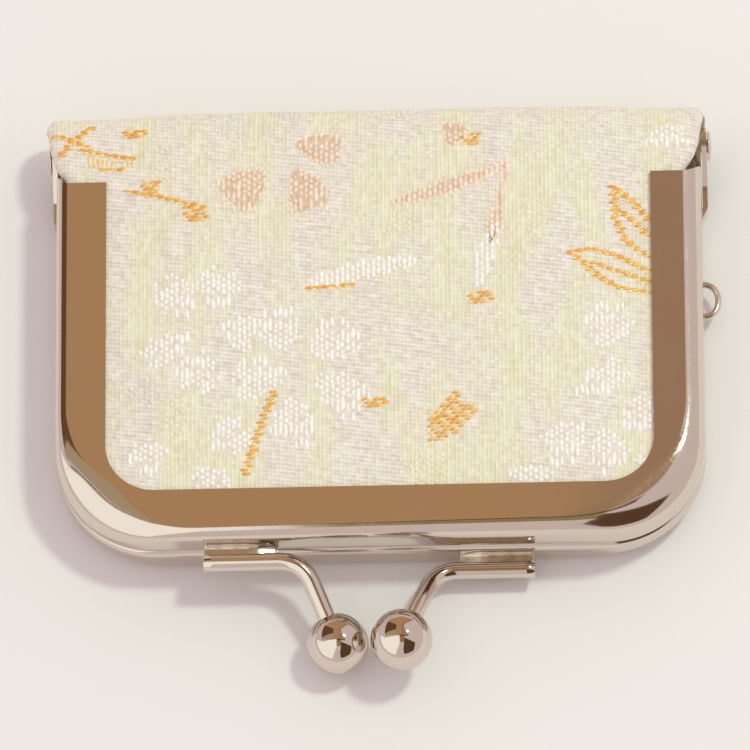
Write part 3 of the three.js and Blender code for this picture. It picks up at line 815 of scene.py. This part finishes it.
def weaveGrid(uLow, uHigh, vLow, vHigh):
    pitch, row = figures["columnPitch"], figures["rowPitch"]
    for i in range(math.floor(uLow / pitch), math.ceil(uHigh / pitch) + 1):
        stagger = row / 2 if i % 2 else 0.0
        for j in range(math.floor(vLow / row), math.ceil(vHigh / row) + 1):
            yield i, j, i * pitch, j * row + stagger


def petalReach(p):  # half the width at a share of the length, widest past the middle
    return 0.52 * math.sin(math.pi * min(max(p, 0.0), 1.0) ** 1.35) ** 0.62


def petalFloats(petal, thread):
    u0, v0, length, width, tip, longSide = petal
    c, s = math.cos(math.radians(tip)), math.sin(math.radians(tip))
    longU, longV = math.cos(math.radians(longSide)), math.sin(math.radians(longSide))
    reach = max(length, width) * 0.6
    floats = []
    for i, j, u, v in weaveGrid(u0 - reach, u0 + reach, v0 - reach, v0 + reach):
        p = ((u - u0) * c + (v - v0) * s) / length + 0.5
        q = abs(-(u - u0) * s + (v - v0) * c) / width
        notch = p > 0.76 and q < (p - 0.76) * 0.9
        if not 0.02 < p < 0.99 or q > petalReach(p) or notch or dice.random() < 0.04:
            continue
        if (u - u0) * longU + (v - v0) * longV < 0.1 * length:
            floats.append((u + dice.uniform(-0.06, 0.06), v + dice.uniform(-0.08, 0.08),
                           *figures["dot"], 0.0, thread))
        elif j % 2 == 0:
            floats.append((u, v, *figures["long"], 0.0, thread))
    return floats


# A flat patch under a petal's floats, coloured as painted shade between the floats
def petalBed(petal):
    u0, v0, length, width, tip, longSide = petal
    c, s = math.cos(math.radians(tip)), math.sin(math.radians(tip))
    sideA, sideB = [], []
    for k in range(11):
        p = mix(0.06, 0.80, k / 10)
        q = petalReach(p) * width * 0.88
        along = (p - 0.5) * length
        sideA.append((u0 + along * c - q * s, v0 + along * s + q * c))
        sideB.append((u0 + along * c + q * s, v0 + along * s - q * c))
    return sideA, sideB


def leafFloats(thread, width, line):
    us, vs = zip(*line)
    steps = [(alongLine(line, k / 60), k / 60) for k in range(61)]
    floats = []
    for i, j, u, v in weaveGrid(min(us) - 1, max(us) + 1, min(vs) - 1, max(vs) + 1):
        (p, share) = min(steps, key=lambda step: math.dist(step[0], (u, v)))
        if math.dist(p, (u, v)) < 0.25 + width / 2 * math.sin(math.pi * share) ** 0.7:
            floats.append((u, v, figures["dot"][0] * 1.3, figures["dot"][1], 0.0, thread))
    return floats


# A flat patch under a leaf's floats, coloured as painted shade between the floats
def leafBed(width, line):
    sideA, sideB = [], []
    for k in range(11):
        share = mix(0.05, 0.95, k / 10)
        (u, v), (a, b) = alongLine(line, share), alongLine(line, share + 0.02)
        long = math.dist((u, v), (a, b)) or 1.0
        half = width * 0.42 * math.sin(math.pi * share) ** 0.7
        sideA.append((u - (b - v) / long * half, v + (a - u) / long * half))
        sideB.append((u + (b - v) / long * half, v - (a - u) / long * half))
    return sideA, sideB


def goldLineFloats(line):
    total = sum(math.dist(a, b) for a, b in zip(line, line[1:]))
    count = max(int(total / 0.42), 2)
    floats = []
    for k in range(count + 1):
        u, v = alongLine(line, k / count)
        side = 0.16 if k % 2 else -0.16
        floats.append((u + side, v + 0.10, *figures["gold"], 84.0, goldThread))
        # the pale floats beside the gold ones are a painted highlight
        if k % 3 != 0:
            floats.append((u - side, v - 0.12, 0.30, 0.15, 70.0, paleGoldAndHighlight))
    return floats


def goldFill(inside, box):
    floats = []
    pitch, row = figures["goldPitch"], figures["goldRow"]
    uLow, uHigh, vLow, vHigh = box
    for j in range(int((vHigh - vLow) / row) + 1):
        for i in range(int((uHigh - uLow) / pitch) + 1):
            u, v = uLow + i * pitch + (pitch / 2 if j % 2 else 0.0), vLow + j * row
            if inside(u, v):
                # every third float pale, as a painted highlight
                floats.append((u, v, 0.36, 0.16, 78.0, goldThread if (i + j) % 3 else paleGoldAndHighlight))
    return floats


def allFloats():
    floats = []
    for petal in whitePetals:
        floats += petalFloats(petal, whiteThread)
    for petal in rosePetals:
        floats += petalFloats(petal, roseThread)
    for leaf in slenderLeaves:
        floats += leafFloats(*leaf)
    for line in goldLines:
        floats += goldLineFloats(line)
    for u, v, width, height in goldBlocks:
        box = (u - width / 2, u + width / 2, v - height / 2, v + height / 2)
        floats += goldFill(lambda a, b: True, box)
    us, vs = zip(*goldBell)
    floats += goldFill(lambda a, b: inPolygon(a, b, goldBell), (min(us), max(us), min(vs), max(vs)))
    for k in range(6):  # upright strokes that hang from the gold bar
        floats.append((-29.1 + 0.46 * k, -1.9 - 0.12 * k, 0.75, 0.16, 0.0, paleGoldAndHighlight))
    for k in range(3):
        floats.append((-25.7 + 0.46 * k, -2.4, 0.4, 0.15, 0.0, paleGoldAndHighlight))
    for thread, u0, v0, width, height in faintPatches:
        for i, j, u, v in weaveGrid(u0 - width / 2, u0 + width / 2, v0 - height / 2, v0 + height / 2):
            round2 = ((u - u0) / width) ** 2 + ((v - v0) / height) ** 2
            if round2 < 0.25 and dice.random() < 0.8:
                floats.append((u, v, 0.30, 0.15, 0.0, thread))
    return floats


def onSheet(u, v):
    low, high = sheetEdges(cloth, v)
    arc = math.pi * cloth["radius"]
    return low + 0.4 < u < high - 0.4 and -cloth["frontEdge"] + 0.5 < v < arc + cloth["frontEdge"] - 0.5


def sheetFrame(u, v):
    centre = Vector(sheetPoint(cloth, u, v))
    across = (Vector(sheetPoint(cloth, u + 0.1, v)) - centre).normalized()
    along = (Vector(sheetPoint(cloth, u, v + 0.1)) - centre).normalized()
    return centre, across, along, across.cross(along).normalized()


def bedPoints(sideA, sideB, du, dv):
    points = []
    last = figures["bedColumns"] - 1
    for a, b in zip(sideA, sideB):
        for k in range(last + 1):
            u, v = mix(a[0], b[0], k / last) + du, mix(a[1], b[1], k / last) + dv
            centre, across, along, out = sheetFrame(u, v)
            points.append(centre + out * figures["bedLift"] * (0 if k in (0, last) else 1))
    return points


def floatPoints(u, v, long, wide, lean):  # a low dome, longer one way
    centre, across, along, out = sheetFrame(u, v)
    angle = math.radians(lean + dice.uniform(-5, 5))
    longWay = along * math.cos(angle) + across * math.sin(angle)
    wideWay = across * math.cos(angle) - along * math.sin(angle)
    grow = dice.uniform(0.80, 1.16)
    points = []
    for scale, up in ((1.0, -0.1), (0.92, 0.55), (0.6, 0.9)):
        for k in range(figures["sides"]):
            a = 2 * math.pi * k / figures["sides"]
            spread = longWay * math.cos(a) * long + wideWay * math.sin(a) * wide
            points.append(centre + spread * scale * grow + out * figures["height"] * up)
    points.append(centre + out * figures["height"])
    return points


def floatFaces(start):
    sides = figures["sides"]
    faces = []
    for ring in range(2):
        for k in range(sides):
            a, b = start + ring * sides + k, start + ring * sides + (k + 1) % sides
            faces.append((a + sides, b + sides, b, a))
    for k in range(sides):
        faces.append((start + 3 * sides, start + 2 * sides + (k + 1) % sides, start + 2 * sides + k))
    return faces


def figureMesh(name):
    points, faces, kinds = [], [], []
    pattern = allFloats()
    beds = [(petalBed(petal), whiteFloatShade) for petal in whitePetals]
    beds += [(petalBed(petal), roseFloatShade) for petal in rosePetals]
    for thread, width, line in slenderLeaves:
        beds.append((leafBed(width, line), roseFloatShade if thread == roseThread else whiteFloatShade))
    for du, dv in figures["repeats"]:
        for (sideA, sideB), thread in beds:
            if all(onSheet(u + du, v + dv) for u, v in sideA + sideB):
                bedFaces = gridFaces(len(sideA), figures["bedColumns"], len(points))
                points += bedPoints(sideA, sideB, du, dv)
                faces += [f[::-1] for f in bedFaces]
                kinds += [thread] * len(bedFaces)
        for u, v, long, wide, lean, thread in pattern:
            if onSheet(u + du, v + dv):
                domeFaces = floatFaces(len(points))
                points += floatPoints(u + du, v + dv, long, wide, lean)
                faces += domeFaces
                kinds += [thread] * len(domeFaces)
    piece = meshPiece(name, points, faces, *threads)
    piece.data.polygons.foreach_set("material_index", kinds)
    return piece


figurePiece = figureMesh("woven_figures")
for piece, height, slotName in (
        (sheetPiece, 4.0, "brocade"), (figurePiece, 4.0, "brocade"), (liningPiece, 3.3, "lining")):
    foldAtHinge(piece)
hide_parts("upper_cover", "lower_cover", "spine_cover")
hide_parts("upper_lining", "lower_lining", "spine_lining")
print("figures woven:", len(figurePiece.data.polygons), "faces")

# Paper cords that wedge the cloth in the channels
paper = {"diameter": 2.2, "inset": 1.65, "height": 1.75, "corner": 10.0, "rear": 4.7}


def paperCordPath(half):
    side, front = case["halfWidth"] - paper["inset"], -case["front"] + paper["inset"]
    corner = paper["corner"]
    right = [(side, mix(-paper["rear"], front + corner, i / 24)) for i in range(24)]
    for i in range(25):
        a = i / 24 * math.pi / 2
        right.append((side - corner + corner * math.cos(a), front + corner - corner * math.sin(a)))
    left = [(-x, y) for x, y in right]
    return [(x, y, half * paper["height"]) for x, y in left + right[::-1]]


kraft = kraftPaper()
for half, side, body in ((1, "upper", "upper_half"), (-1, "lower", "lower_half")):
    cord = meshPiece(f"kraft_{side}_cord", *tubeMesh(paperCordPath(half), paper["diameter"] / 2, 16), kraft)
    fit(cord, body, "paper_cord", f"{side}_paper_cord")
print("paper cords made")

# Stage: pale floor, one soft key lamp, lilac ambient light and cards that only the metal sees
stage = {
    "floor": "#f0eae5", "keyAim": (0.40, 0.20, 0.89), "keyDistance": 1.2, "keySize": 0.15, "keyPower": 4.2,
    "keyTint": (0.90, 1.12, 0.96), "ambient": (0.80, 0.735, 0.765), "roomSeen": (0.72, 0.62, 0.60),
    "cardHeight": 250.0, "floorShade": "#ece6e1", "floorPatch": 60.0, "floorHalf": 900.0, "floorDrop": 0.005,
}
# corners in plan of each card, and the colour the metal sees in it
cards = {
    "brown_ceiling": ([(-72, -58), (16, -58), (16, 140), (560, 900), (-700, 900), (-72, 140)],
                      (0.50, 0.305, 0.155)),
    "brown_ceiling_right": ([(16, -58), (60, -58), (60, 140), (640, 900), (560, 900), (16, 140)],
                            (0.40, 0.25, 0.155)),
    "brown_low_right": ([(60, -50), (135, -50), (135, 48), (60, 48)], (0.42, 0.26, 0.15)),
    "dark_beam": ([(-430, 34), (-72, 34), (-72, 140), (-560, 700)], (0.15, 0.075, 0.035)),
    "olive_left": ([(-430, -30), (-72, -58), (-72, 34), (-430, 34)], (0.47, 0.37, 0.24)),
    "dark_edge": ([(-330, -74), (-18, -66), (-18, -58), (-330, -58)], (0.26, 0.16, 0.09)),
    "window_light": ([(-18, -200), (-18, -66), (-430, -80), (-1500, 200), (-1500, -1300), (-500, -1500)],
                     (1.15, 1.13, 1.08)),
    "dark_front": ([(-18, -82), (130, -82), (130, -58), (-18, -58)], (0.16, 0.08, 0.035)),
    "olive_front": ([(-18, -190), (60, -190), (60, -82), (-18, -82)], (0.32, 0.25, 0.12)),
    "dark_room": ([(60, -110), (60, -420), (180, -1100), (800, -900), (420, -240)], (0.12, 0.06, 0.03)),
}


def cardMaterial(name, colour):
    material = bpy.data.materials.new(name)
    material.use_nodes = True
    tree = material.node_tree
    tree.nodes.clear()
    glow = addNode(tree, "ShaderNodeEmission", {"Color": (*colour, 1.0), "Strength": 1.0})
    addNode(tree, "ShaderNodeOutputMaterial", {"Surface": glow.outputs[0]})
    return material


def paperFloor():
    material, tree, shader = newMaterial("matt white paper")
    spot = addNode(tree, "ShaderNodeTexCoord").outputs["Object"]
    fibre = addNode(tree, "ShaderNodeTexNoise",
                    {"Vector": spot, "Scale": 1 / (stage["floorPatch"] * mm), "Detail": 2.0})
    colour = twoTone(tree, fibre.outputs[0], 0.0, 1.0, stage["floorShade"], stage["floor"])
    tree.links.new(colour, shader.inputs["Base Color"])
    shader.inputs["Roughness"].default_value = 0.95
    shader.inputs["Specular IOR Level"].default_value = 0.1
    return material


def flatStage(name, corners, z, material):
    piece = meshPiece(name, [(x, y, z) for x, y in corners], [tuple(range(len(corners)))], material)
    return piece


reach = stage["floorHalf"]
flatStage("paper_floor", [(-reach, -reach), (reach, -reach), (reach, reach), (-reach, reach)],
          -case["half"] - stage["floorDrop"], paperFloor())
for name, (corners, colour) in cards.items():
    card = flatStage(name, corners, stage["cardHeight"], cardMaterial(name.replace("_", " "), colour))
    card.visible_camera = False
    card.visible_diffuse = False
    card.visible_shadow = False
    card.visible_transmission = False

keyLamp = bpy.data.lights.new("key lamp", "AREA")
keyLamp.shape = "DISK"
keyLamp.size = stage["keySize"]
keyLamp.energy = stage["keyPower"]
keyLamp.color = stage["keyTint"]
key = bpy.data.objects.new("key lamp", keyLamp)
bpy.context.scene.collection.objects.link(key)
keyAim = Vector(stage["keyAim"]).normalized()
key.location = Vector(place((0, -22, 0))) + keyAim * stage["keyDistance"]
key.rotation_euler = keyAim.to_track_quat("Z", "Y").to_euler()

world = bpy.data.worlds.new("room")
bpy.context.scene.world = world
world.use_nodes = True
tree = world.node_tree
tree.nodes.clear()
ray = addNode(tree, "ShaderNodeLightPath")
sky = addNode(tree, "ShaderNodeMix", {
    0: ray.outputs["Is Glossy Ray"], 6: (*stage["ambient"], 1.0), 7: (*stage["roomSeen"], 1.0)},
              data_type="RGBA")
light = addNode(tree, "ShaderNodeBackground", {"Color": sky.outputs[2], "Strength": 1.0})
addNode(tree, "ShaderNodeOutputWorld", {"Surface": light.outputs[0]})

# Camera at the photograph's place, aimed by its own axes
view = {
    "place": (43.997, -458.753, 1081.038), "right": (0.99906096, -0.0046576, -0.0430756),
    "up": (0.0203727, 0.92793951, 0.37217365), "back": (0.03823811, -0.37270173, 0.92716302), "lens": 557.04,
}
camera = bpy.data.cameras.new("camera")
camera.lens = view["lens"]
camera.sensor_width = 36.0
cameraPiece = bpy.data.objects.new("camera", camera)
bpy.context.scene.collection.objects.link(cameraPiece)
axes = [Vector(view[way]) for way in ("right", "up", "back")]
cameraPlace = Vector(place(view["place"]))
rows = [(*(axis[r] for axis in axes), cameraPlace[r]) for r in range(3)]
cameraPiece.matrix_world = Matrix((*rows, (0, 0, 0, 1)))
bpy.context.scene.camera = cameraPiece
bpy.context.scene.view_settings.view_transform = "Standard"
print("stage and camera set")
